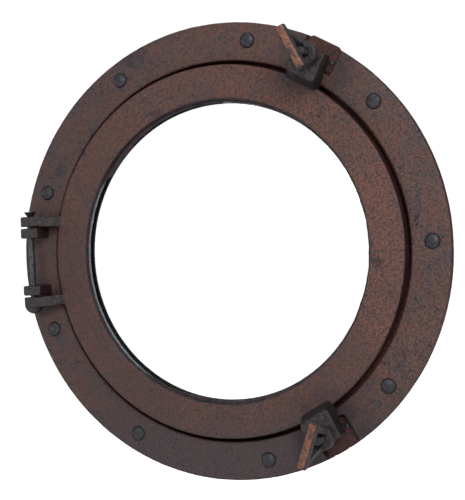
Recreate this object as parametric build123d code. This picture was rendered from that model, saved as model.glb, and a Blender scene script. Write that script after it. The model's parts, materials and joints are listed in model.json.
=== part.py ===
from build123d import *

import math
import os

# Opening porthole: a glazed round door, hinged on a flanged wall ring and held shut by two swing-bolt dogs.
# Each piece is modelled in the porthole's own axes: x to the right, y up, z out of the wall into the room,
# with z = 0 on the flange's back. write() turns it so that +Z is up and the room side faces -Y.

# Driving dimensions, millimetres and degrees
FLANGE_R = 254.0  # outer radius of the flange at its back edge
FLANGE_DRAFT = 0.4  # how much smaller the front edge is
FLANGE_T = 10.5
RECESS_R = 210.7  # inner wall that the door sits in
RECESS_WALL = 7.8
LANDING_Z = -7.2  # seat that the door's seal closes on
LANDING_T = 7.0
RIDGE_R = 196.5
RIDGE_W = 4.0
RIDGE_H = 2.4
SPIGOT_R = 187.0  # bore of the sleeve behind the seat
SPIGOT_WALL = 7.0
SPIGOT_END_Z = -34.0
CAST_ROUND = 1.5  # edge rounding of the castings

DOOR_R = 206.4
DOOR_FACE_Z = 19.0
DOOR_BACK_Z = -1.0
LIP_R = 168.4  # clear opening of the door
LIP_T = 8.6
GLASS_T = 6.0
GLASS_R = 177.0
BEDDING_T = 1.2
BEAD_PROUD = 2.2  # how far the bedding stands in from the lip
REBATE_R = 178.0
RETAINER_R = 186.6
RETAINER_BORE_R = 164.3
RETAINER_BEVEL = 2.3  # of its bore, on the outside
RETAINER_T = 3.3
RETAINER_SCREW_R = 181.2
RETAINER_SCREWS = 8
SEAL_IN_R = 192.0
SEAL_OUT_R = 201.0
SEAL_GROOVE = 5.0
SEAL_PROUD = 3.2

SCREW_CIRCLE_R = 233.5
SCREWS = 9
SCREW_THREAD_R = 3.0
SCREW_SHANK_R = 2.7  # plain stretch through the flange, under the head
SCREW_HOLE_R = 3.3
SCREW_HEAD_R = 8.5
SCREW_HEAD_H = 3.2
SCREW_SHANK_END = 0.5  # where the thread starts, behind the flange
SCREW_REACH = 32.0  # length behind the flange
SCREW_TIP = 4.0

HINGE_X = -233.7
HINGE_Z = 28.2
PIN_R = 3.2
PIN_FIT = 0.06  # radial clearance in the ring's lugs
PIN_IN_DOOR = 0.01  # radial clearance in the door's arms, which grip the pin
EYE_R = 11.2
LUG_Y0 = 27.3
LUG_Y1 = 39.1
LUG_RIGHT_X = -219.5
ARM_Y0 = 40.9
ARM_Y1 = 52.5
ARM_END_X = -196.0
ARM_SPLAY = 2.0  # the arms lean towards each other at the door
PIN_HEAD_R = 6.6
PIN_HEAD_H = 5.6
DOME_H = 8.2

DOG_ANGLES = {"upper": 59.5, "lower": -60.0}
DOG_SHIFT = {"upper": 0.0, "lower": -4.0}  # the lower dog was fitted nearer the middle
HANDLE_TURN = {"upper": 115.5, "lower": -110.0}  # direction of the wing nut's bar
DOG_R = 234.0  # bolt axis and pivot, from the porthole's axis, before the shift
PIVOT_Z = 10.5
PIVOT_R = 2.5
PIVOT_FIT = 0.06
POCKET_R = 223.5
POCKET_HALF = 20.7
POCKET_FLOOR_Z = 2.4
BRACKET_T = 2.2
BRACKET_HALF = 19.4
BRACKET_IN_R = 224.6
BRACKET_OUT_R = 255.2
CHEEK_IN = 9.0
CHEEK_T = 3.6
CHEEK_R = 5.8
RIVET_R = 1.8
BOLT_R = 5.0
BOLT_END_Z = 70.1
BOLT_EYE_R = 5.5
BOLT_EYE_HALF = 8.7
EAR_TOP_Z = 40.8
EAR_TOP_R = 210.4  # inner edge of its top
EAR_ROOT_R = 201.6  # where its inner face meets the door's face
EAR_ROOT_HALF = 18.8
EAR_TIP_HALF = 16.2
EAR_TIP_R = 242.6
EAR_UNDER_Z = 18.0
FORK_HALF = 6.0
WASHER_R = 12.0
WASHER_T = 1.8
WASHER_GAP = 0.7
HUB_R = 13.0
HUB_H = 11.0
HUB_BORE_R = 5.05
BAR_HALF = 24.2
BAR_W = 10.4
BAR_Z0 = 90.6
BAR_Z1 = 101.4


def outline(points, radii):
    """A closed face in the current plane, with one corner radius for each point."""
    return make_face(FilletPolyline(*points, radius=radii, close=True))


def turned(points, radii=None):
    """A (radius, height) outline turned about the porthole's axis."""
    return revolve(Plane.XZ * outline(points, radii or [0] * len(points)), Axis.Z)


def ring(r_in, r_out, z0, z1):
    return turned([(r_in, z0), (r_out, z0), (r_out, z1), (r_in, z1)])


def rod(r, z0, z1):
    """A cylinder along z between two heights."""
    return Pos(0, 0, z0) * Cylinder(r, z1 - z0, align=(Align.CENTER, Align.CENTER, Align.MIN))


def rod_y(r, y0, y1):
    """A cylinder along y between two places."""
    return Pos(0, y1, 0) * Rot(90, 0, 0) * rod(r, 0, y1 - y0)


def block(x0, x1, y0, y1, z0, z1):
    return Pos(x0, y0, z0) * Box(x1 - x0, y1 - y0, z1 - z0, align=Align.MIN)


def at_station(shape, angle, radius=0.0):
    """Carries a shape drawn with x outward and y along the rim to a place round the ring."""
    return Rot(0, 0, angle) * Pos(radius, 0, 0) * shape


def at_dog(shape, name, radius=0.0):
    """Carries a shape to the upper or lower dog."""
    return at_station(shape, DOG_ANGLES[name], radius + DOG_SHIFT[name])


def screw_angles():
    return [360.0 * i / SCREWS for i in range(SCREWS)]


def retainer_angles():
    return [360.0 * (i + 0.5) / RETAINER_SCREWS for i in range(RETAINER_SCREWS)]


def hinge_lug(y0, y1):
    """One of the ring's two lugs: a flat-topped post with a round left end."""
    profile = outline(
        [
            (HINGE_X - EYE_R, FLANGE_T - 3),
            (LUG_RIGHT_X, FLANGE_T - 3),
            (LUG_RIGHT_X, HINGE_Z + EYE_R - 0.4),
            (HINGE_X - EYE_R, HINGE_Z + EYE_R - 0.4),
        ],
        [0, 0, 1.0, 9.0],
    )
    post = Pos(0, y1, 0) * extrude(Plane.XZ * profile, y1 - y0)
    plan = outline(
        [
            (HINGE_X - EYE_R, y0),
            (LUG_RIGHT_X, y0),
            (LUG_RIGHT_X, y1),
            (HINGE_X - EYE_R, y1),
        ],
        [4.0, 0.8, 0.8, 4.0],
    )
    return post & extrude(plan, HINGE_Z + 2 * EYE_R)


def mounting_ring():
    """The wall casting: flange, door recess, sealing seat, sleeve, hinge lugs and dog pockets."""
    outer_wall = RECESS_R + RECESS_WALL
    seat_back = LANDING_Z - LANDING_T
    sleeve_r = SPIGOT_R + SPIGOT_WALL
    casting = turned(
        [
            (FLANGE_R, 0),
            (FLANGE_R - FLANGE_DRAFT, FLANGE_T),
            (RECESS_R, FLANGE_T),
            (RECESS_R, LANDING_Z),
            (RIDGE_R + RIDGE_W / 2, LANDING_Z),
            (RIDGE_R + RIDGE_W / 2, LANDING_Z + RIDGE_H),
            (RIDGE_R - RIDGE_W / 2, LANDING_Z + RIDGE_H),
            (RIDGE_R - RIDGE_W / 2, LANDING_Z),
            (SPIGOT_R, LANDING_Z),
            (SPIGOT_R, SPIGOT_END_Z),
            (sleeve_r, SPIGOT_END_Z),
            (sleeve_r, seat_back),
            (outer_wall, seat_back),
            (outer_wall, 0),
        ],
        [0.5, 1.5, 1.2, 1.0, 0.5, 0.8, 0.8, 0.5, CAST_ROUND, 1.0, 1.0, 3.0, 2.0, 0],
    )
    for side in (1, -1):
        casting += hinge_lug(*sorted((side * LUG_Y0, side * LUG_Y1)))
    casting -= Pos(HINGE_X, 0, HINGE_Z) * rod_y(PIN_R + PIN_FIT, -LUG_Y1 - 1, LUG_Y1 + 1)
    for angle in screw_angles():
        casting -= at_station(rod(SCREW_HOLE_R, -1, FLANGE_T + 1), angle, SCREW_CIRCLE_R)
    pocket = block(POCKET_R, FLANGE_R + 5, -POCKET_HALF, POCKET_HALF, POCKET_FLOOR_Z, FLANGE_T + 5)
    for name in DOG_ANGLES:
        casting -= at_dog(pocket, name)
        for side in (1, -1):
            hole = Pos(DOG_R + 2, side * rivet_offset(), 0) * rod(RIVET_R, -1, FLANGE_T)
            casting -= at_dog(hole, name)
    return casting


def rivet_offset():
    """How far the bracket's rivets stand to each side of the bolt."""
    return (CHEEK_IN + CHEEK_T + BRACKET_HALF) / 2


def mounting_screws():
    """Round-headed screws through the flange, as separate solids."""
    head_bulge = (SCREW_HEAD_R**2 + SCREW_HEAD_H**2) / (2 * SCREW_HEAD_H)
    ball = Pos(0, 0, FLANGE_T + SCREW_HEAD_H - head_bulge) * Sphere(head_bulge)
    head = ball & rod(SCREW_HEAD_R + 1, FLANGE_T, FLANGE_T + SCREW_HEAD_H + 1)
    shank = rod(SCREW_SHANK_R, -SCREW_SHANK_END, FLANGE_T + 0.5)
    thread = rod(SCREW_THREAD_R, -SCREW_REACH + SCREW_TIP, -SCREW_SHANK_END)
    tip = cone(1.0, SCREW_THREAD_R, -SCREW_REACH, -SCREW_REACH + SCREW_TIP)
    screw = head + shank + thread + tip
    return [at_station(screw, angle, SCREW_CIRCLE_R) for angle in screw_angles()]


def dog_bracket(name):
    """A clevis that lies in the ring's pocket: a foot plate with two round-topped cheeks."""
    plate_top = POCKET_FLOOR_Z + BRACKET_T
    foot = block(
        BRACKET_IN_R, BRACKET_OUT_R, -BRACKET_HALF, BRACKET_HALF, POCKET_FLOOR_Z, plate_top
    )
    bracket = fillet(foot.edges().filter_by(Axis.Z), 5.0)
    for side in (1, -1):
        y0, y1 = sorted((side * CHEEK_IN, side * (CHEEK_IN + CHEEK_T)))
        cheek = block(DOG_R - CHEEK_R, DOG_R + CHEEK_R, y0, y1, plate_top - 0.5, PIVOT_Z)
        bracket += cheek + Pos(DOG_R, 0, PIVOT_Z) * rod_y(CHEEK_R, y0, y1)
        bracket -= Pos(DOG_R + 2, side * rivet_offset(), 0) * rod(RIVET_R, 0, FLANGE_T)
    reach = CHEEK_IN + CHEEK_T + 1
    bracket -= Pos(DOG_R, 0, PIVOT_Z) * rod_y(PIVOT_R, -reach, reach)
    return at_dog(bracket, name)


def bracket_rivets():
    """Two rivets for each bracket, set flush with the flange's back."""
    plate_top = POCKET_FLOOR_Z + BRACKET_T
    dome = Pos(0, 0, plate_top - 1.7) * Sphere(3.3)
    rivet = rod(RIVET_R, 0, plate_top + 0.2) + (dome & rod(4.0, plate_top, plate_top + 3))
    return [
        at_dog(Pos(DOG_R + 2, side * rivet_offset(), 0) * rivet, name)
        for name in DOG_ANGLES
        for side in (1, -1)
    ]


def dog_pivot_pin(name):
    """The pin that a swing bolt turns on, headed at both ends outside the cheeks."""
    cheek_out = CHEEK_IN + CHEEK_T
    pin = rod_y(PIVOT_R, -cheek_out - 1.5, cheek_out + 1.5)
    for side in (1, -1):
        y0, y1 = sorted((side * cheek_out, side * (cheek_out + 1.6)))
        pin += rod_y(PIVOT_R + 1.0, y0, y1)
    pin = fillet(pin.edges().group_by(Axis.Y)[0] + pin.edges().group_by(Axis.Y)[-1], 0.8)
    return at_dog(Pos(DOG_R, 0, PIVOT_Z) * pin, name)


def swing_bolt(name):
    """An eye bolt: a wide eye on the pivot pin and a round shank that the nut runs on."""
    eye = rod_y(BOLT_EYE_R, -BOLT_EYE_HALF, BOLT_EYE_HALF)
    eye = fillet(eye.edges(), 0.6)
    shank = rod(BOLT_R, 0, BOLT_END_Z - PIVOT_Z)
    shank = chamfer(shank.edges().group_by(Axis.Z)[-1], 0.8)
    bolt = eye + shank - rod_y(PIVOT_R + PIVOT_FIT, -BOLT_EYE_HALF - 1, BOLT_EYE_HALF + 1)
    return at_dog(Pos(DOG_R, 0, PIVOT_Z) * bolt, name)


def washer_z():
    return EAR_TOP_Z + WASHER_GAP


def dog_washer(name):
    """A flat washer that rides under the wing nut."""
    z0 = washer_z()
    return at_dog(ring(HUB_BORE_R + 0.25, WASHER_R, z0, z0 + WASHER_T), name, DOG_R)


def wing_nut(name):
    """A nut with a stirrup handle: a round hub, two rising arms and a straight bar across their ends."""
    hub_z = washer_z() + WASHER_T + 0.2
    hub_top = hub_z + HUB_H
    hub = turned([(0, hub_z), (HUB_R, hub_z), (HUB_R, hub_top), (0, hub_top)], [0, 0.8, 3.0, 0])
    bar_corner = BAR_W * 0.3
    bar = block(-BAR_HALF, BAR_HALF, -BAR_W / 2, BAR_W / 2, BAR_Z0, BAR_Z1)
    bar = fillet(bar.edges().filter_by(Axis.X), bar_corner)
    nut = hub + bar
    for side in (1, -1):
        arm = outline(
            [
                (side * 3.5, hub_z + 2.5),
                (side * (HUB_R - 1.2), hub_z + 2.5),
                (side * (HUB_R + 0.5), hub_top + 3.0),
                (side * (BAR_HALF - 1.0), BAR_Z0 + 3.0),
                (side * (BAR_HALF - 8.5), BAR_Z0 + 3.0),
                (side * 6.2, hub_top + 2.0),
                (side * 3.5, hub_top - 2.0),
            ],
            [0, 0, 6.0, 0, 0, 8.0, 0],
        )
        nut += Pos(0, BAR_W * 0.42, 0) * extrude(Plane.XZ * arm, BAR_W * 0.84)
    nut -= rod(HUB_BORE_R, hub_z - 1, BOLT_END_Z + 1)
    return at_dog(Rot(0, 0, HANDLE_TURN[name] - DOG_ANGLES[name]) * nut, name, DOG_R)


def dog_ear():
    """The door's forked ear that a dog pulls down on, with x outward."""
    gap_z = FLANGE_T + 2.0
    profile = outline(
        [
            (199.0, 6.0),
            (DOOR_R - 0.2, 6.0),
            (DOOR_R - 0.2, gap_z),
            (217.0, gap_z),
            (222.0, EAR_UNDER_Z),
            (EAR_TIP_R, EAR_UNDER_Z),
            (EAR_TIP_R, EAR_TOP_Z),
            (EAR_TOP_R, EAR_TOP_Z),
            (EAR_ROOT_R, DOOR_FACE_Z),
            (199.0, DOOR_FACE_Z - 3.0),
        ],
        [0, 0, 0, 2.0, 2.0, 2.0, 5.0, 0, 0, 0],
    )
    solid = extrude(Plane.XZ * profile, 2 * EAR_ROOT_HALF, both=True)
    plan = outline(
        [
            (EAR_ROOT_R - 9.0, -EAR_ROOT_HALF - 0.7),
            (EAR_TIP_R + 0.5, -EAR_TIP_HALF),
            (EAR_TIP_R + 0.5, EAR_TIP_HALF),
            (EAR_ROOT_R - 9.0, EAR_ROOT_HALF + 0.7),
        ],
        [0, 4.0, 4.0, 0],
    )
    ear = solid & extrude(plan, EAR_TOP_Z + 1)
    corners = [e for e in ear.edges() if e.center().X < EAR_TOP_R and abs((e @ 1 - e @ 0).Z) > 15]
    ear = fillet(corners, 4.0)
    rim = ear.faces().sort_by(Axis.Z)[-1].edges()
    ear = fillet([e for e in rim if e.center().X < EAR_TIP_R - 6], 1.5)
    slot = block(DOG_R, EAR_TIP_R + 5, -FORK_HALF, FORK_HALF, 0, EAR_TOP_Z + 5)
    slot += Pos(DOG_R, 0, 0) * rod(FORK_HALF, 0, EAR_TOP_Z + 5)
    return ear - slot


def hinge_arm(side):
    """One of the door's two hinge arms: a round eye whose top line falls to the door's face."""
    profile = outline(
        [
            (HINGE_X - EYE_R, HINGE_Z - EYE_R),
            (HINGE_X + 8.0, FLANGE_T + 1.5),
            (ARM_END_X - 4.5, FLANGE_T + 1.5),
            (ARM_END_X - 4.5, 6.0),
            (ARM_END_X - 1.0, 6.0),
            (ARM_END_X + 1.0, DOOR_FACE_Z - 0.3),
            (ARM_END_X - 8.0, DOOR_FACE_Z + 9.0),
            (HINGE_X + 12.0, HINGE_Z + EYE_R - 1.0),
            (HINGE_X - EYE_R, HINGE_Z + EYE_R),
        ],
        [10.0, 3.0, 0, 0, 0, 0, 14.0, 9.0, 10.5],
    )
    wide = extrude(Plane.XZ * profile, ARM_Y1 + 5, both=True)
    lean = ARM_SPLAY
    plan = outline(
        [
            (HINGE_X - EYE_R, ARM_Y0),
            (HINGE_X + EYE_R, ARM_Y0),
            (ARM_END_X + 3.0, ARM_Y0 - lean),
            (ARM_END_X + 3.0, ARM_Y1 - lean),
            (HINGE_X + EYE_R, ARM_Y1),
            (HINGE_X - EYE_R, ARM_Y1),
        ],
        [2.5, 0, 0, 0, 0, 5.0],
    )
    arm = wide & extrude(plan, 60)
    return arm if side > 0 else mirror(arm, about=Plane.XZ)


def pin_end_dome():
    """The closed round boss under the lower arm, which the hinge pin's end screws into."""
    base_r = EYE_R - 0.3
    bulge = (base_r**2 + DOME_H**2) / (2 * DOME_H)
    ball = Pos(HINGE_X, -ARM_Y1 - DOME_H + bulge, HINGE_Z) * Sphere(bulge)
    return ball & Pos(HINGE_X, 0, HINGE_Z) * rod_y(base_r, -ARM_Y1 - DOME_H - 1, -ARM_Y1 + 1)


def door_frame():
    """The door casting: rim, glass rebate, seal groove, hinge arms and two forked ears."""
    rebate_z = DOOR_FACE_Z - LIP_T
    retainer_z = DOOR_BACK_Z + RETAINER_T + 0.2
    groove_z = DOOR_BACK_Z + SEAL_GROOVE
    frame = turned(
        [
            (LIP_R, rebate_z),
            (LIP_R, DOOR_FACE_Z),
            (DOOR_R, DOOR_FACE_Z),
            (DOOR_R, DOOR_BACK_Z),
            (SEAL_OUT_R, DOOR_BACK_Z),
            (SEAL_OUT_R, groove_z),
            (SEAL_IN_R, groove_z),
            (SEAL_IN_R, DOOR_BACK_Z),
            (RETAINER_R + 0.4, DOOR_BACK_Z),
            (RETAINER_R + 0.4, retainer_z),
            (REBATE_R, retainer_z),
            (REBATE_R, rebate_z),
        ],
        [0.6, 2.2, 2.2, 1.0, 0.6, 0.4, 0.4, 0.6, 0.4, 0, 0.3, 0],
    )
    for side in (1, -1):
        frame += hinge_arm(side)
    frame += pin_end_dome()
    for name in DOG_ANGLES:
        frame += at_dog(dog_ear(), name)
    frame -= Pos(HINGE_X, 0, HINGE_Z) * rod_y(PIN_R + PIN_IN_DOOR, -ARM_Y1 - 1.5, ARM_Y1 + 1)
    for angle in retainer_angles():
        frame -= at_station(rod(1.7, DOOR_BACK_Z, DOOR_BACK_Z + 11.0), angle, RETAINER_SCREW_R)
    return frame


def glass_pane():
    top = DOOR_FACE_Z - LIP_T - BEDDING_T
    pane = rod(GLASS_R, top - GLASS_T, top)
    return chamfer(pane.edges(), 0.5)


def glass_bead():
    """The bedding between the lip and the glass."""
    top = DOOR_FACE_Z - LIP_T
    return ring(LIP_R - BEAD_PROUD, GLASS_R, top - BEDDING_T, top)


def glass_gasket():
    """The flat gasket between the glass and its retaining ring."""
    top = DOOR_FACE_Z - LIP_T - BEDDING_T - GLASS_T
    return ring(RETAINER_BORE_R + 0.3, GLASS_R, DOOR_BACK_Z + RETAINER_T, top)


def cone(r0, r1, z0, z1):
    """A cone along z, from radius r0 at z0 to r1 at z1."""
    return Pos(0, 0, z0) * Cone(r0, r1, z1 - z0, align=(Align.CENTER, Align.CENTER, Align.MIN))


def glass_retaining_ring():
    bevel = 0.8
    plate = turned(
        [
            (RETAINER_BORE_R, DOOR_BACK_Z + RETAINER_BEVEL),
            (RETAINER_BORE_R + RETAINER_BEVEL, DOOR_BACK_Z),
            (RETAINER_R - bevel, DOOR_BACK_Z),
            (RETAINER_R, DOOR_BACK_Z + bevel),
            (RETAINER_R, DOOR_BACK_Z + RETAINER_T),
            (RETAINER_BORE_R, DOOR_BACK_Z + RETAINER_T),
        ]
    )
    hole = turned(
        [
            (0, DOOR_BACK_Z - 0.5),
            (4.3, DOOR_BACK_Z - 0.5),
            (1.9, DOOR_BACK_Z + 1.9),
            (1.9, DOOR_BACK_Z + RETAINER_T + 1),
            (0, DOOR_BACK_Z + RETAINER_T + 1),
        ]
    )
    for angle in retainer_angles():
        plate -= at_station(hole, angle, RETAINER_SCREW_R)
    return plate


def retaining_screws():
    """Countersunk screws through the retaining ring, as separate solids with a driver slot."""
    screw = cone(3.5, 1.65, DOOR_BACK_Z + 0.1, DOOR_BACK_Z + 1.95)
    screw += rod(1.65, DOOR_BACK_Z + 1.0, DOOR_BACK_Z + 10.5)
    screw -= block(-5, 5, -0.5, 0.5, DOOR_BACK_Z - 1, DOOR_BACK_Z + 0.9)
    return [at_station(screw, angle, RETAINER_SCREW_R) for angle in retainer_angles()]


def door_seal():
    """The rubber ring in the door's back groove that closes on the seat's ridge."""
    groove_z = DOOR_BACK_Z + SEAL_GROOVE
    tip_z = DOOR_BACK_Z - SEAL_PROUD
    middle = (SEAL_IN_R + SEAL_OUT_R) / 2
    return turned(
        [
            (SEAL_IN_R + 0.1, groove_z),
            (SEAL_IN_R + 0.1, DOOR_BACK_Z),
            (middle - 3.2, tip_z),
            (middle + 3.2, tip_z),
            (SEAL_OUT_R - 0.1, DOOR_BACK_Z),
            (SEAL_OUT_R - 0.1, groove_z),
        ],
        [0.6, 0.5, 1.2, 1.2, 0.5, 0.6],
    )


def hinge_pin():
    """A long pin with a flaring head above the upper arm, screwed into the lower arm's boss."""
    rim = 0.8
    flare = Rot(-90, 0, 0) * cone(PIN_R, PIN_HEAD_R, ARM_Y1, ARM_Y1 + PIN_HEAD_H - rim)
    top = ARM_Y1 + PIN_HEAD_H
    pin = flare + rod_y(PIN_HEAD_R, top - rim, top)
    pin -= block(-PIN_HEAD_R - 1, PIN_HEAD_R + 1, top - 1.6, top + 1, -0.8, 0.8)
    pin += rod_y(PIN_R, -ARM_Y1 - 1.2, ARM_Y1 + 0.5)
    return Pos(HINGE_X, 0, HINGE_Z) * pin


def solids_of(shape):
    parts = shape if isinstance(shape, list) else [shape]
    return [solid for part in parts for solid in part.solids()]


def write(name, shape):
    """Stands the porthole on end, room side towards -Y, and writes one sub-part."""
    solids = [Rot(90, 0, 0) * solid for solid in solids_of(shape)]
    node = solids[0] if len(solids) == 1 else Compound(children=solids)
    export_step(node, f"parts/{name}.step")


def main():
    os.makedirs("parts", exist_ok=True)
    write("mounting_ring", mounting_ring())
    write("mounting_screws", mounting_screws())
    write("bracket_rivets", bracket_rivets())
    write("door_frame", door_frame())
    write("glass_pane", glass_pane())
    write("glass_bead", glass_bead())
    write("glass_gasket", glass_gasket())
    write("glass_retaining_ring", glass_retaining_ring())
    write("retaining_screws", retaining_screws())
    write("door_seal", door_seal())
    write("hinge_pin", hinge_pin())
    for name in DOG_ANGLES:
        write(f"dog_bracket_{name}", dog_bracket(name))
        write(f"dog_pivot_pin_{name}", dog_pivot_pin(name))
        write(f"swing_bolt_{name}", swing_bolt(name))
        write(f"dog_washer_{name}", dog_washer(name))
        write(f"wing_nut_{name}", wing_nut(name))


main()
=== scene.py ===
"""Looks of an opening porthole: patinated castings and worn dogs, with painted light and shade, and a soft white
studio.
"""

import json
import math

import bmesh
import bpy
import numpy as np
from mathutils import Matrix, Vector, noise


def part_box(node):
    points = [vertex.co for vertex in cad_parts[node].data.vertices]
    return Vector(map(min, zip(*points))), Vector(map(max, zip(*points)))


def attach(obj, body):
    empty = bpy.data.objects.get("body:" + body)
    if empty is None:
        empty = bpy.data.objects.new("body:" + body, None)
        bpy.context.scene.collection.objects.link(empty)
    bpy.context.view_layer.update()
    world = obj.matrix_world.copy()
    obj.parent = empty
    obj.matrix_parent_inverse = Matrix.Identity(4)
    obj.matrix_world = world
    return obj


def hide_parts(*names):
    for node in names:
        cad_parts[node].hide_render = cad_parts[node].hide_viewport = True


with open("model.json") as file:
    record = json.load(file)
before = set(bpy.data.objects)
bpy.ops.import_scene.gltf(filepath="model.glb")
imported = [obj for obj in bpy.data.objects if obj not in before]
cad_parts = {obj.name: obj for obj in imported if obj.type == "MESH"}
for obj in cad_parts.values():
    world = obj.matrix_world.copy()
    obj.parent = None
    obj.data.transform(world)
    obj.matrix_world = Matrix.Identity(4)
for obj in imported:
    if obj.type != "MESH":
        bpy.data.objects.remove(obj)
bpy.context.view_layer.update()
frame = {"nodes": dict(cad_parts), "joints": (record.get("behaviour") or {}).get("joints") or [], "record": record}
NODES = frame["nodes"]
JOINTS = {joint["name"]: joint for joint in frame["joints"]}
BODY_OF = {node: body for body, nodes in frame["record"]["behaviour"]["bodies"].items() for node in nodes}
SIDES = ("upper", "lower")
MM = 0.001

CAMERA_PLACE = (0.4870, -1.2156, -0.0022)
CAMERA_TURN = (90.165, 2.976, 21.570)
CAMERA_LENS = 84.48

FLANGE_Y = JOINTS["dog_upper_swing"]["pos_m"][1]  # the dogs' pivots are level with the flange's face
DOOR_Y = FLANGE_Y - 8.5 * MM  # the door's face
LIP_R = 168.4 * MM  # the door's clear opening
EAR_TIP_R = 238.0 * MM  # the ears' outer ends start here, and rust as the flange does
BEHIND_ALL = 0.1  # as a casting's face, this counts the whole casting as standing out, so the dark colours of proud parts cover all of it

FLOOR_Z = -0.42
FLOOR_R = 30.0
FLOOR_SIDES = 64
FLOOR_SEEN = 0.92
FLOOR_LIGHT = 0.10
SKY_SEEN = 1.06
SKY_LIGHT = 0.20
WARM_WHITE = (1.0, 0.985, 0.965)
SOFT_WHITE = (1.0, 0.99, 0.98)
COOL_WHITE = (0.96, 0.98, 1.0)
BLUE_WHITE = (0.93, 0.97, 1.0)
PALE_WHITE = (0.97, 0.98, 1.0)

RING_VOXEL = 1.8 * MM
DOOR_VOXEL = 1.35 * MM
RETAINER_VOXEL = 0.96 * MM
SMALL_VOXEL = 0.6 * MM
NUT_VOXEL = 0.5 * MM
MERGE = 0.01 * MM  # vertices closer than this are one

BOLT_R = 5.0 * MM
BOLT_PITCH = 1.5 * MM
BOLT_THREAD_DEPTH = 0.55 * MM
BOLT_LEAD_IN = 1.6 * MM
BOLT_BLUNT = 0.84  # the bolt's end, as a share of its radius
SHANK_CUT_Y = -24.0 * MM  # the swing bolts are threaded from here to their ends
BOLT_OVERLAP = 0.5 * MM

SCREW_R = 3.0 * MM
SCREW_PITCH = 2.6 * MM
SCREW_THREAD_DEPTH = 0.8 * MM
SCREW_TAPER = 6 * MM
SCREW_BLUNT = 0.12
SCREW_CUT_Y = 0.6 * MM  # the wall screws are threaded from here to their tips
SCREW_START = 0.3 * MM

BEAD_WIDTH = 10.8 * MM  # how far the bedding reaches in from its outer edge
BEAD_INSET = 0.05 * MM
BEAD_STEPS = 360


# ---------------------------------------------------------------- studio


def add_object(name, data):
    item = bpy.data.objects.new(name, data)
    bpy.context.scene.collection.objects.link(item)
    return item


def make_camera():
    camera = add_object("camera", bpy.data.cameras.new("camera"))
    camera.location = CAMERA_PLACE
    camera.rotation_euler = [math.radians(a) for a in CAMERA_TURN]
    camera.data.lens = CAMERA_LENS
    camera.data.clip_end = 100.0
    bpy.context.scene.camera = camera


def strength_by_ray(tree, seen, lighting):
    """One strength for what is seen directly or through glass, another for the light it gives."""
    path = tree.nodes.new("ShaderNodeLightPath")
    direct = tree.nodes.new("ShaderNodeMath")
    direct.operation = "MAXIMUM"
    tree.links.new(path.outputs["Is Camera Ray"], direct.inputs[0])
    tree.links.new(path.outputs["Is Transmission Ray"], direct.inputs[1])
    strength = tree.nodes.new("ShaderNodeMapRange")
    strength.inputs["To Min"].default_value = lighting
    strength.inputs["To Max"].default_value = seen
    tree.links.new(direct.outputs[0], strength.inputs["Value"])
    return strength.outputs[0]


def make_floor():
    mesh = bpy.data.meshes.new("floor")
    rim = [
        (FLOOR_R * math.cos(a), FLOOR_R * math.sin(a), FLOOR_Z)
        for a in np.linspace(0, 2 * math.pi, FLOOR_SIDES, endpoint=False)
    ]
    mesh.from_pydata(rim, [], [list(range(len(rim)))])
    floor = add_object("floor", mesh)
    paper = Shader("white_paper")
    paper.put({"Base Color": (0.85, 0.85, 0.85, 1), "Roughness": 0.9, "Emission Color": (1, 1, 1, 1)})
    paper.put({"Emission Strength": strength_by_ray(paper.tree, FLOOR_SEEN, FLOOR_LIGHT)})
    floor.data.materials.append(paper.material)


def area_light(name, place, aim, size, power, color):
    """A round soft light; size is its diameter in metres and power is in watts."""
    lamp = bpy.data.lights.new(name, "AREA")
    lamp.shape = "DISK"
    lamp.size = size
    lamp.energy = power
    lamp.color = color
    item = add_object(name, lamp)
    item.location = place
    item.rotation_euler = (Vector(aim) - Vector(place)).to_track_quat("-Z", "Y").to_euler()


def make_studio():
    make_camera()
    make_floor()
    area_light("key", (0.95, -1.4, 0.75), (0, 0, 0), 0.7, 19, WARM_WHITE)
    area_light("front", (-0.35, -2.2, 0.55), (0, 0, 0), 1.0, 9, SOFT_WHITE)
    area_light("top", (-0.2, -0.8, 2.0), (0, 0, 0), 0.9, 6, COOL_WHITE)
    area_light("rim", (-1.9, -0.7, 0.1), (0, 0, 0), 0.8, 5, BLUE_WHITE)
    area_light("back", (-0.6, 2.3, 1.1), (0, 0, 0), 1.2, 8, PALE_WHITE)
    world = bpy.data.worlds.new("studio")
    world.use_nodes = True
    sky = world.node_tree.nodes["Background"]
    sky.inputs["Color"].default_value = (1, 1, 1, 1)
    strength = strength_by_ray(world.node_tree, SKY_SEEN, SKY_LIGHT)
    world.node_tree.links.new(strength, sky.inputs["Strength"])
    bpy.context.scene.world = world
    bpy.context.scene.view_settings.view_transform = "Standard"


# ---------------------------------------------------------------- materials


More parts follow.
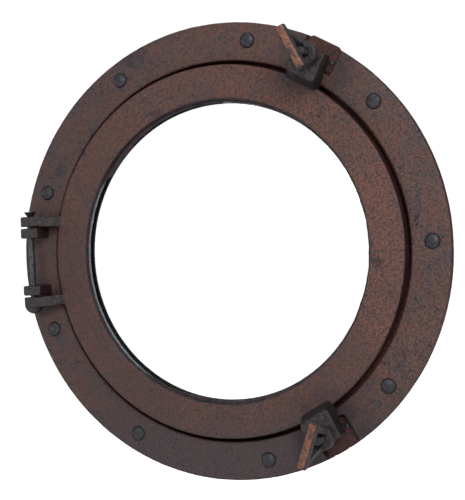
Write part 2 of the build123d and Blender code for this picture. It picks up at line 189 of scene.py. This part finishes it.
class Shader:
    """A node material being built round one Principled shader."""

    def __init__(self, name):
        self.material = bpy.data.materials.new(name)
        self.material.use_nodes = True
        self.tree = self.material.node_tree
        self.surface = self.tree.nodes["Principled BSDF"]
        self.place = self.tree.nodes.new("ShaderNodeTexCoord").outputs["Object"]

    def join(self, value, socket):
        """Links a socket, or sets a number or colour."""
        if isinstance(value, bpy.types.NodeSocket):
            self.tree.links.new(value, socket)
        elif isinstance(value, tuple) and len(value) == 3 and socket.type == "RGBA":
            socket.default_value = (*value, 1.0)
        else:
            socket.default_value = value

    def put(self, values, node=None):
        """Sets or links inputs by name."""
        for name, value in values.items():
            self.join(value, (node or self.surface).inputs[name])

    def node(self, kind, values=None, **settings):
        made = self.tree.nodes.new("ShaderNode" + kind)
        for name, value in settings.items():
            setattr(made, name, value)
        self.put(values or {}, made)
        return made

    def noise(self, size, detail=4.0, roughness=0.6, distortion=0.0, place=None):
        """Noise whose largest features are about size metres across, from 0 to 1."""
        return self.node(
            "TexNoise",
            {
                "Vector": place or self.place,
                "Scale": 1.0 / size,
                "Detail": detail,
                "Roughness": roughness,
                "Distortion": distortion,
            },
        ).outputs["Fac"]

    def cells(self, size):
        """Distance to scattered points that are about size metres apart."""
        return self.node("TexVoronoi", {"Vector": self.place, "Scale": 1.0 / size}).outputs["Distance"]

    def span(self, value, low, high, to_low=0.0, to_high=1.0):
        """Takes low..high smoothly to to_low..to_high."""
        values = {"Value": value, "From Min": low, "From Max": high, "To Min": to_low, "To Max": to_high}
        return self.node("MapRange", values, interpolation_type="SMOOTHSTEP").outputs["Result"]

    def math(self, operation, a, b):
        made = self.node("Math", operation=operation)
        for index, value in enumerate((a, b)):
            self.join(value, made.inputs[index])
        return made.outputs[0]

    def blend(self, share, a, b):
        """Mixes two colours, given as sockets or as red, green and blue."""
        made = self.node("Mix", data_type="RGBA")
        for index, value in ((0, share), (6, a), (7, b)):
            self.join(value, made.inputs[index])
        return made.outputs[2]

    def bump(self, height, depth):
        """A bump of that depth in metres."""
        return self.node("Bump", {"Height": height, "Distance": depth, "Strength": 1.0}).outputs["Normal"]

    def hollow(self, reach):
        """1 deep in corners and gaps, 0 on open faces; the mask for painted shade."""
        found = self.node("AmbientOcclusion", {"Distance": reach}, samples=8).outputs["AO"]
        return self.math("SUBTRACT", 1.0, found)

    def ridge(self, reach):
        """High along outer edges, 0 on flat faces."""
        found = self.node(
            "AmbientOcclusion", {"Distance": reach}, samples=8, inside=True, only_local=True
        ).outputs["AO"]
        return self.math("SUBTRACT", 1.0, found)

    def coordinate(self, axis):
        return self.node("SeparateXYZ", {"Vector": self.place}).outputs[axis]

    def facing(self):
        """The Y part of the surface's normal: -1 towards the room, 0 on walls, 1 towards the wall."""
        normal = self.node("NewGeometry").outputs["Normal"]
        return self.node("SeparateXYZ", {"Vector": normal}).outputs["Y"]

    def product(self, *factors):
        """The factors, sockets or numbers, multiplied together; the first is a socket."""
        found = factors[0]
        for factor in factors[1:]:
            found = self.math("MULTIPLY", found, factor)
        return found

    def cover(self, base, color, *factors):
        """Lays a colour over the base; its share is the factors' product."""
        return self.blend(self.product(*factors), base, color)


RUST = (0.190, 0.072, 0.047)
BROWN = (0.078, 0.042, 0.036)
SLATE = (0.046, 0.043, 0.050)
NAVY = (0.014, 0.011, 0.020)
OXBLOOD = (0.036, 0.011, 0.011)
# painted shadow round the dogs
DOG_SHADOW = (0.026, 0.022, 0.028)
# painted light: pale specks on the castings, more of them on the right
PALE_LIGHT = (0.190, 0.140, 0.125)
# rust specks within the painted shade of gaps
GAP_RUST_IN_SHADE = (0.115, 0.036, 0.028)
# edge colours: wear and painted highlight
STEEL_WEAR_AND_SHEEN = (0.130, 0.120, 0.120)
COPPER_WEAR_AND_SHEEN = (0.300, 0.120, 0.070)
DULL = ((0.012, 0.012, 0.017), (0.058, 0.051, 0.049))
DRIED_BLOOD = ((0.016, 0.008, 0.011), (0.070, 0.027, 0.022))
# painted shade on side walls
WALL_SHADE = ((0.007, 0.005, 0.009), (0.034, 0.014, 0.013))

FORGED_DARK = (0.020, 0.019, 0.024)
FORGED_GREY = (0.058, 0.050, 0.052)
# wear and painted highlight on the nuts' edges
FORGED_WEAR_AND_SHEEN = (0.150, 0.150, 0.145)
COPPER_DARK = (0.150, 0.062, 0.040)
COPPER_BRIGHT = (0.270, 0.108, 0.060)
SCREW_SLATE = (0.044, 0.049, 0.060)
SCREW_SHADE = (0.022, 0.0245, 0.030)
SCREW_BROWN = (0.060, 0.032, 0.026)
# painted shade in the screw heads' corners
SCREW_CORNER_SHADE = (0.050, 0.022, 0.016)
STEEL_LIGHT = (0.110, 0.125, 0.145)
STEEL_DARK = (0.040, 0.042, 0.050)
STEEL_STAIN = (0.060, 0.034, 0.028)
RUBBER = (0.014, 0.013, 0.018)
RUBBER_DUST = (0.034, 0.032, 0.038)
SOILED = (0.030, 0.014, 0.016)
# painted light on the bedding's left, and its painted glints
LIT_GREY = (0.16, 0.19, 0.21)
LIT_GREY_DARK = (0.09, 0.11, 0.13)
GLINT_WHITE = (0.72, 0.76, 0.78)


class Patina(Shader):
    """Brown and slate patina on a casting, with painted light and shade, laid on in layers from the cast skin up.
    """

    def __init__(self, name):
        super().__init__(name)
        self.clouds = self.noise(110 * MM, 5.0, 0.60, 0.6)
        self.patches = self.noise(26 * MM, 6.0, 0.66, 0.8)
        self.speckle = self.noise(3.2 * MM, 5.0, 0.74)
        self.grain = self.noise(1.7 * MM, 3.0, 0.74)
        self.across, self.depth, self.upward = (self.coordinate(axis) for axis in "XYZ")
        self.flat = self.node("Mapping", {"Vector": self.place, "Scale": (1.0, 0.0, 1.0)}).outputs["Vector"]
        self.radius = self.node("VectorMath", {0: self.flat}, operation="LENGTH").outputs["Value"]

    def rust(self):
        """Rust's share: in specks and clouds, and least low down; most away from the hinge, to the right, where
        the extra rust is partly painted light.
        """
        specks = self.span(self.speckle, 0.42, 0.62)
        clouds = self.span(self.clouds, 0.34, 0.60, 0.35, 1.0)
        # partly painted light: more bright rust towards the right, where the light is stronger
        rust_and_light_to_right = self.span(self.across, -0.16, 0.17, 0.65, 1.35)
        from_foot = self.span(self.upward, -0.24, -0.12, 0.5, 1.0)
        return self.product(self.product(specks, clouds), self.product(rust_and_light_to_right, from_foot))

    def skin(self, warmth, rust):
        """Brown to slate, with rust, dark specks, pale specks of painted light that grow stronger on the right,
        and dark stains.
        """
        grey = self.span(self.patches, 0.40, 0.64, 0.0, 0.9 - 0.4 * warmth)
        low_down = self.span(self.upward, -0.13, -0.23, 0.0, 0.7)
        base = self.blend(self.math("MAXIMUM", grey, low_down), BROWN, SLATE)
        base = self.cover(base, RUST, rust, 0.50 + 0.45 * warmth)
        base = self.cover(base, NAVY, self.span(self.speckle, 0.50, 0.34, 0.0, 0.55))
        base = self.cover(base, NAVY, self.span(self.grain, 0.50, 0.66, 0.0, 0.60))
        # painted light: pale specks, more of them on the right, where the light is stronger
        painted_light = (self.span(self.grain, 0.48, 0.34), self.span(self.across, 0.05, 0.22, 0.1, 0.5))
        base = self.cover(base, PALE_LIGHT, *painted_light)
        stains = (self.span(self.patches, 0.57, 0.67), self.span(self.clouds, 0.46, 0.58))
        return self.cover(base, NAVY, *stains, 0.6)

    def painted_shadow_by_dogs(self, base):
        """Painted shadow: dark uneven patches round each dog's pivot."""
        for side in SIDES:
            x, _, z = JOINTS[f"dog_{side}_swing"]["pos_m"]
            off = self.node("VectorMath", {0: self.flat, 1: (x, 0, z)}, operation="DISTANCE").outputs["Value"]
            uneven = self.span(self.patches, 0.36, 0.58, 0.3, 1.0)
            # painted shadow: dark patches round the dog's pivot
            base = self.cover(base, DOG_SHADOW, self.span(off, 62 * MM, 30 * MM), uneven, 0.65)
        return base

    def handled(self, base, face_y, colors):
        """Dull colours on what stands out past the main face, apart from the ears' outer ends."""
        proud = self.span(self.depth, face_y - 0.8 * MM, face_y - 3.0 * MM)
        far_out = self.span(self.radius, EAR_TIP_R, EAR_TIP_R + 6 * MM)
        tips = self.product(far_out, self.span(self.across, 0.0, 0.05))
        proud = self.product(proud, self.math("SUBTRACT", 1.0, tips))
        return self.cover(base, self.blend(self.span(self.speckle, 0.40, 0.60), *colors), proud, 0.88)

    def painted_shade_on_walls(self, base):
        """Painted shade on the side walls, the faces turned neither to the room nor to the wall."""
        wall = self.span(self.math("ABSOLUTE", self.facing(), 0.0), 0.62, 0.30)
        # painted shade: dark colours on the side walls
        blotches = self.blend(self.span(self.patches, 0.44, 0.60), *WALL_SHADE)
        return self.cover(base, blotches, wall, 0.88)

    def worn_and_highlit_edges(self, base, color, share):
        # wear and painted highlight: the edge colour along the outer edges
        edges = self.span(self.ridge(2.4 * MM), 0.16, 0.50)
        return self.cover(base, color, edges, self.span(self.patches, 0.36, 0.58), share)

    def painted_shade_in_hollows(self, base, rust):
        """Painted shade in oxblood, with specks of rust, in corners and gaps and on all that lies deeper than the
        flange's face.
        """
        sunk = self.span(self.depth, FLANGE_Y + 0.8 * MM, FLANGE_Y + 2.5 * MM)
        deep = self.math("MAXIMUM", self.hollow(12 * MM), sunk)
        # painted shade: darker in corners, gaps and all that lies deeper
        return self.cover(base, self.blend(rust, OXBLOOD, GAP_RUST_IN_SHADE), self.span(deep, 0.25, 0.60, 0.0, 0.8))

    def painted_shade_in_bore(self, base, bore_r, face_y):
        """Painted shade on the wall of the door's clear opening, just below its rim."""
        inside = self.span(self.radius, bore_r + 1.6 * MM, bore_r + 0.4 * MM)
        below = self.span(self.depth, face_y + 0.5 * MM, face_y + 2.2 * MM)
        blotches = self.blend(self.span(self.patches, 0.40, 0.60), OXBLOOD, NAVY)
        # painted shade on the wall of the opening
        return self.cover(base, blotches, inside, below, 0.92)

    def pits(self):
        return self.product(self.span(self.cells(7 * MM), 0.20, 0.08), self.span(self.patches, 0.50, 0.58))

    def relief(self, pits):
        height = self.math("ADD", self.product(self.speckle, 0.8), self.product(self.grain, 0.5))
        return self.bump(self.math("SUBTRACT", height, self.product(pits, 0.8)), 1.0 * MM)


def patina(name, face_y, warmth, edge_color, edge_share, shine, bore_r=None, handled=DULL):
    """The patina of one casting, with painted light and shade, whose main face is at face_y.

    Warmth is its share of rust, rub the colour laid on its edges for wear and painted highlight, and shine its
    least roughness.
    """
    s = Patina(name)
    rust = s.rust()
    base = s.skin(warmth, rust)
    base = s.painted_shadow_by_dogs(base)
    base = s.handled(base, face_y, handled)
    base = s.painted_shade_on_walls(base)
    base = s.worn_and_highlit_edges(base, edge_color, edge_share)
    base = s.painted_shade_in_hollows(base, rust)
    if bore_r is not None:
        base = s.painted_shade_in_bore(base, bore_r, face_y)
    pits = s.pits()
    s.put(
        {
            "Base Color": s.cover(base, NAVY, pits, 0.85),
            "Metallic": 0.1,
            "Specular IOR Level": 0.35,
            "Roughness": s.span(s.speckle, 0.30, 0.70, shine, shine + 0.2),
            "Normal": s.relief(pits),
        }
    )
    return s.material


def worn_bronze():
    """Bronze handled for years: copper rubbed through on the wing nuts' bars, dark elsewhere, with wear and
    painted highlight on the edges and navy painted shade in the hollows.
    """
    s = Shader("worn_bronze")
    mottle = s.noise(11 * MM, 5.0, 0.68, 0.8)
    streak = s.noise(3.4 * MM, 4.0, 0.72, 0.4)
    grain = s.noise(1.4 * MM, 3.0, 0.70)
    base = s.blend(s.span(streak, 0.40, 0.64), FORGED_DARK, FORGED_GREY)
    on_bar = s.product(s.span(s.coordinate("Y"), -86 * MM, -95 * MM), s.span(s.facing(), -0.72, -0.95))
    copper = s.blend(s.span(streak, 0.40, 0.62), COPPER_DARK, COPPER_BRIGHT)
    base = s.cover(base, copper, on_bar, s.span(mottle, 0.40, 0.50), 0.95)
    base = s.cover(base, NAVY, s.span(grain, 0.56, 0.64, 0.0, 0.6))
    # wear and painted highlight along the edges
    edges = s.product(s.span(s.ridge(1.4 * MM), 0.20, 0.55), s.span(streak, 0.44, 0.58))
    base = s.cover(base, FORGED_WEAR_AND_SHEEN, edges, 0.55)
    # painted shade: navy in hollows and corners
    base = s.cover(base, NAVY, s.span(s.hollow(7 * MM), 0.30, 0.75, 0.0, 0.9))
    s.put(
        {
            "Base Color": base,
            "Metallic": 0.2,
            "Specular IOR Level": 0.4,
            "Roughness": s.span(streak, 0.30, 0.70, 0.44, 0.62),
            "Normal": s.bump(s.math("ADD", s.product(streak, 0.6), s.product(grain, 0.3)), 0.5 * MM),
        }
    )
    return s.material


def dark_fastener():
    """Blackened screw or rivet heads with a slate sheen, and brown painted shade in their corners."""
    s = Shader("dark_fastener")
    mottle = s.noise(4.2 * MM, 4.0, 0.65, 0.4)
    grain = s.noise(1.1 * MM, 3.0, 0.65)
    base = s.blend(s.span(mottle, 0.36, 0.62), SCREW_SLATE, SCREW_SHADE)
    base = s.cover(base, SCREW_BROWN, s.span(grain, 0.52, 0.66, 0.0, 0.7))
    # painted shade: brown in the heads' corners
    base = s.cover(base, SCREW_CORNER_SHADE, s.span(s.hollow(3 * MM), 0.25, 0.60, 0.0, 0.8))
    s.put(
        {
            "Base Color": base,
            "Metallic": 0.2,
            "Specular IOR Level": 0.35,
            "Roughness": s.span(mottle, 0.30, 0.70, 0.42, 0.60),
            "Normal": s.bump(s.math("ADD", mottle, s.product(grain, 0.5)), 0.25 * MM),
        }
    )
    return s.material


def pin_steel():
    """Dull steel with fine rings round its length and brown stains."""
    s = Shader("pin_steel")
    rings = s.node("Mapping", {"Vector": s.place, "Scale": (0.15, 0.15, 3.0)}).outputs["Vector"]
    turning = s.noise(3 * MM, 3.0, 0.6, 0.0, rings)
    blotches = s.noise(11 * MM, 5.0, 0.65, 0.5)
    base = s.blend(s.span(turning, 0.35, 0.65), STEEL_LIGHT, STEEL_DARK)
    base = s.cover(base, STEEL_STAIN, s.span(blotches, 0.52, 0.68, 0.0, 0.75))
    s.put(
        {
            "Base Color": base,
            "Metallic": 0.85,
            "Roughness": s.span(blotches, 0.30, 0.70, 0.22, 0.42),
            "Normal": s.bump(turning, 0.12 * MM),
        }
    )
    return s.material


def seal_rubber():
    """Matt black rubber with a dusty bloom."""
    s = Shader("seal_rubber")
    dust = s.noise(6 * MM, 5.0, 0.7, 0.3)
    s.put(
        {
            "Base Color": s.blend(s.span(dust, 0.45, 0.70), RUBBER, RUBBER_DUST),
            "Roughness": s.span(dust, 0.3, 0.7, 0.62, 0.85),
            "Normal": s.bump(s.noise(1.2 * MM, 3.0, 0.6), 0.15 * MM),
        }
    )
    return s.material


def bedding():
    """Old bedding: a pale blue-grey band of painted light on the left, with white painted glints, and soiled
    elsewhere.
    """
    s = Shader("bedding")
    soil = s.noise(12 * MM, 5.0, 0.7, 0.6)
    crumb = s.noise(2 * MM, 4.0, 0.7)
    left = s.span(s.coordinate("X"), -90 * MM, -120 * MM)
    below_ooze = s.span(s.coordinate("Z"), 92 * MM, 74 * MM)
    # painted light: the left of the bedding lit pale blue-grey
    painted_light = s.product(left, below_ooze)
    base = s.blend(s.span(soil, 0.40, 0.62), SOILED, NAVY)
    base = s.cover(base, s.blend(s.span(crumb, 0.40, 0.62), LIT_GREY, LIT_GREY_DARK), painted_light)
    # painted glints in white
    base = s.cover(base, GLINT_WHITE, painted_light, s.span(crumb, 0.58, 0.66), 0.9)
    s.put(
        {
            "Base Color": base,
            "Roughness": s.span(soil, 0.3, 0.7, 0.45, 0.75),
            "Normal": s.bump(crumb, 0.5 * MM),
        }
    )
    return s.material


def clear_glass():
    """Flat glass with the faintest waviness."""
    s = Shader("clear_glass")
    s.put({"Base Color": (0.99, 1.0, 0.995, 1), "Roughness": 0.0, "IOR": 1.50, "Transmission Weight": 1.0})
    s.put({"Normal": s.bump(s.noise(60 * MM, 2.0, 0.5), 0.02 * MM)})
    return s.material


# ---------------------------------------------------------------- pieces


def paint(piece, material):
    piece.data.materials.clear()
    piece.data.materials.append(material)


def stand_for(piece, node):
    """Shows a piece in place of a CAD node, which it hides, and hangs it on that node's body."""
    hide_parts(node)
    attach(piece, BODY_OF[node])


def apply_modifier(piece, kind, **settings):
    """Adds one modifier and bakes it into the piece's mesh."""
    modifier = piece.modifiers.new(kind.lower(), kind)
    for name, value in settings.items():
        setattr(modifier, name, value)
    graph = bpy.context.evaluated_depsgraph_get()
    graph.update()
    made = bpy.data.meshes.new_from_object(piece.evaluated_get(graph))
    piece.modifiers.clear()
    piece.data = made


def smooth_shade(mesh):
    mesh.polygons.foreach_set("use_smooth", [True] * len(mesh.polygons))


def dent(mesh, depth, size, seed):
    """Sinks the surface by smooth seeded noise, never raising it above where it was."""
    count = len(mesh.vertices)
    places = np.empty(count * 3)
    mesh.vertices.foreach_get("co", places)
    places = places.reshape(-1, 3)
    normals = np.empty(count * 3)
    mesh.vertex_normals.foreach_get("vector", normals)
    shift = Vector((seed * 7.31, seed * 3.17, seed * 5.53))
    sink = np.array([noise.fractal(Vector(place) / size + shift, 0.9, 2.1, 4) for place in places])
    sink = np.clip(0.5 + 0.5 * sink, 0.0, 1.0)
    places -= normals.reshape(-1, 3) * (sink * depth)[:, None]
    mesh.vertices.foreach_set("co", places.ravel())
    mesh.update()


def cast_copy(node, voxel, depth, size, seed, material, soften=2):
    """A CAD solid with a real casting's unevenness: remeshed, laid back on its surface and dented."""
    piece = add_object(node + "_cast", NODES[node].data.copy())
    shape = bmesh.new()
    shape.from_mesh(piece.data)
    bmesh.ops.remove_doubles(shape, verts=shape.verts, dist=MERGE)
    shape.to_mesh(piece.data)
    shape.free()
    apply_modifier(piece, "REMESH", mode="VOXEL", voxel_size=voxel, use_smooth_shade=True)
    apply_modifier(piece, "SMOOTH", factor=0.5, iterations=soften)
    apply_modifier(piece, "SHRINKWRAP", target=NODES[node], wrap_method="NEAREST_SURFACEPOINT")
    apply_modifier(piece, "SMOOTH", factor=0.3, iterations=1)
    dent(piece.data, depth, size, seed)
    smooth_shade(piece.data)
    paint(piece, material)
    stand_for(piece, node)


def threaded(radius, depth, pitch, low, high, taper, blunt, around=28, per_turn=8):
    """Points and faces of a closed screw thread along +z, tapered to blunt over its last stretch."""
    rows = int(round((high - low) / pitch * per_turn))
    heights = np.linspace(low, high, rows + 1)
    angles = np.linspace(0, 2 * math.pi, around, endpoint=False)
    points = []
    for height in heights:
        scale = blunt + (1 - blunt) * min(1.0, (high - height) / taper)
        for angle in angles:
            phase = (height / pitch - angle / (2 * math.pi)) % 1.0
            crest = 1 - abs(2 * phase - 1)
            r = (radius - depth * (1 - min(1.0, 1.5 * crest))) * scale
            points.append((r * math.cos(angle), r * math.sin(angle), height))
    faces = []
    for row in range(rows):
        for i in range(around):
            j = (i + 1) % around
            a, b = row * around, (row + 1) * around
            faces.append((a + i, a + j, b + j, b + i))
    for centre_height, first, flip in ((low, 0, True), (high, rows * around, False)):
        centre = len(points)
        points.append((0.0, 0.0, centre_height))
        for i in range(around):
            j = (i + 1) % around
            edge = (first + i, first + j, centre)
            faces.append(tuple(reversed(edge)) if flip else edge)
    return points, faces


def keep_side(mesh, y, front):
    """Cuts a mesh at a height above the wall and keeps its room side or its wall side, closed."""
    shape = bmesh.new()
    shape.from_mesh(mesh)
    bmesh.ops.remove_doubles(shape, verts=shape.verts, dist=MERGE)
    whole = shape.verts[:] + shape.edges[:] + shape.faces[:]
    cut = bmesh.ops.bisect_plane(
        shape, geom=whole, plane_co=(0, y, 0), plane_no=(0, 1, 0), clear_outer=front, clear_inner=not front
    )
    edges = [item for item in cut["geom_cut"] if isinstance(item, bmesh.types.BMEdge)]
    bmesh.ops.holes_fill(shape, edges=edges)
    shape.to_mesh(mesh)
    shape.free()


def face_outward(shape):
    bmesh.ops.recalc_face_normals(shape, faces=shape.faces)


def add_threads(mesh, spots, points, faces):
    """Joins one thread to a mesh at each (x, z, direction): +z of the thread runs that way along Y."""
    shape = bmesh.new()
    shape.from_mesh(mesh)
    for x, z, direction in spots:
        made = [shape.verts.new((x + px, direction * pz, z + direction * py)) for px, py, pz in points]
        for face in faces:
            shape.faces.new([made[i] for i in face])
    face_outward(shape)
    shape.to_mesh(mesh)
    shape.free()


def sharp_smooth(mesh, degrees):
    """Smooth shading, with edges sharper than that angle kept crisp."""
    smooth_shade(mesh)
    mesh.set_sharp_from_angle(angle=math.radians(degrees))


def make_swing_bolt(side, material):
    """The eye and plain neck from the CAD model, with a real thread up to the bolt's end."""
    node = f"swing_bolt_{side}"
    low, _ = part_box(node)
    pivot = JOINTS[f"dog_{side}_swing"]["pos_m"]
    piece = add_object(node + "_threaded", NODES[node].data.copy())
    keep_side(piece.data, SHANK_CUT_Y, front=False)
    start = -SHANK_CUT_Y - BOLT_OVERLAP
    thread = threaded(BOLT_R, BOLT_THREAD_DEPTH, BOLT_PITCH, start, -low[1], BOLT_LEAD_IN, BOLT_BLUNT)
    add_threads(piece.data, [(pivot[0], pivot[2], -1)], *thread)
    sharp_smooth(piece.data, 50)
    paint(piece, material)
    stand_for(piece, node)


def make_wall_screws(material):
    """Nine domed screws, threaded behind the flange."""
    node = "mounting_screws"
    pattern = next(m for m in frame["record"]["mounts"] if m["name"] == "wall_screws")["dims"]
    piece = add_object(node + "_threaded", NODES[node].data.copy())
    _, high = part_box(node)
    keep_side(piece.data, SCREW_CUT_Y, front=True)
    shape = (SCREW_R, SCREW_THREAD_DEPTH, SCREW_PITCH, SCREW_START, high[1], SCREW_TAPER, SCREW_BLUNT)
    thread = threaded(*shape, around=20)
    radius = pattern["pcd_mm"] / 2 * MM
    turns = [2 * math.pi * i / pattern["count"] for i in range(pattern["count"])]
    spots = [(radius * math.cos(a), radius * math.sin(a), 1) for a in turns]
    add_threads(piece.data, spots, *thread)
    sharp_smooth(piece.data, 40)
    paint(piece, material)
    stand_for(piece, node)


def ooze(degrees):
    """How much further the bedding runs in over the glass: not at all on the left, a little round
    the rest, and most at the upper left, where it ends abruptly."""
    thickening, fullest, end, left_end = 108.0, 138.0, 147.0, 250.0
    end_width = 2.0
    thin, thick = 1.3 * MM, 3.4 * MM
    if end < degrees < left_end:
        return 0.0
    if not thickening < degrees < end:
        return thin
    rise = min(1.0, (degrees - thickening) / (fullest - thickening))
    fall = min(1.0, (end - degrees) / end_width)
    return max(thin, thick * rise**0.7) * fall


def bead_points(outer, middle_y, half):
    """Rings of points round the glass, one closed section after another, and a section's length."""
    section = [(0.0, -0.98), (0.0, 0.98), (0.9, 0.98), (0.985, 0.75), (1.0, 0.1), (0.99, -0.7), (0.93, -0.98)]
    points = []
    for step in range(BEAD_STEPS):
        angle = 2 * math.pi * step / BEAD_STEPS
        out = Vector((math.cos(angle), 0, math.sin(angle)))
        wander = 0.55 * noise.noise(out * 9.0) + 0.30 * noise.noise(out * 31.0)
        reach = BEAD_WIDTH + (wander - 0.45) * MM + ooze(math.degrees(angle))
        for along, across in section:
            spot = out * (outer - BEAD_INSET - along * reach)
            points.append((spot.x, middle_y + across * half, spot.z))
    return points, len(section)


def make_bead(material):
    """Bedding squeezed out from under the lip, its edge uneven."""
    node = "glass_bead"
    low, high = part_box(node)
    points, size = bead_points((high[0] - low[0]) / 2, (low[1] + high[1]) / 2, (high[1] - low[1]) / 2)
    faces = []
    for i in range(BEAD_STEPS):
        j = (i + 1) % BEAD_STEPS
        for k in range(size):
            n = (k + 1) % size
            faces.append((i * size + k, i * size + n, j * size + n, j * size + k))
    mesh = bpy.data.meshes.new(node)
    mesh.from_pydata(points, [], faces)
    piece = add_object(node + "_squeezed", mesh)
    shape = bmesh.new()
    shape.from_mesh(mesh)
    face_outward(shape)
    shape.to_mesh(mesh)
    shape.free()
    sharp_smooth(mesh, 60)
    paint(piece, material)
    stand_for(piece, node)


make_studio()
flange_metal = patina("flange_patina", FLANGE_Y, 0.05, STEEL_WEAR_AND_SHEEN, 0.7, 0.46)
door_metal = patina("door_patina", DOOR_Y, 0.8, COPPER_WEAR_AND_SHEEN, 0.35, 0.50, bore_r=LIP_R)
bracket_metal = patina("bracket_patina", FLANGE_Y, 0.3, STEEL_WEAR_AND_SHEEN, 0.3, 0.48, handled=DRIED_BLOOD)
retainer_metal = patina("retainer_patina", BEHIND_ALL, 0.3, OXBLOOD, 0.3, 0.6, handled=DRIED_BLOOD)
bronze = worn_bronze()
fastener = dark_fastener()
steel = pin_steel()
rubber = seal_rubber()

# node, voxel, depth and size of the unevenness, seed, material, smoothing steps
cast_copy("mounting_ring", RING_VOXEL, 0.35 * MM, 26 * MM, 1, flange_metal)
cast_copy("door_frame", DOOR_VOXEL, 0.30 * MM, 22 * MM, 2, door_metal)
cast_copy("glass_retaining_ring", RETAINER_VOXEL, 0.12 * MM, 16 * MM, 3, retainer_metal, 1)
for number, side in enumerate(SIDES):
    cast_copy(f"dog_bracket_{side}", SMALL_VOXEL, 0.15 * MM, 8 * MM, 4, bracket_metal, 1)
    cast_copy(f"wing_nut_{side}", NUT_VOXEL, 0.25 * MM, 5 * MM, 5 + number, bronze, 4)
    make_swing_bolt(side, bronze)
    paint(NODES[f"dog_washer_{side}"], bronze)
    paint(NODES[f"dog_pivot_pin_{side}"], steel)
make_wall_screws(fastener)
for node in ("bracket_rivets", "retaining_screws"):
    paint(NODES[node], fastener)
paint(NODES["hinge_pin"], steel)
paint(NODES["glass_pane"], clear_glass())
for node in ("glass_gasket", "door_seal"):
    paint(NODES[node], rubber)
make_bead(bedding())
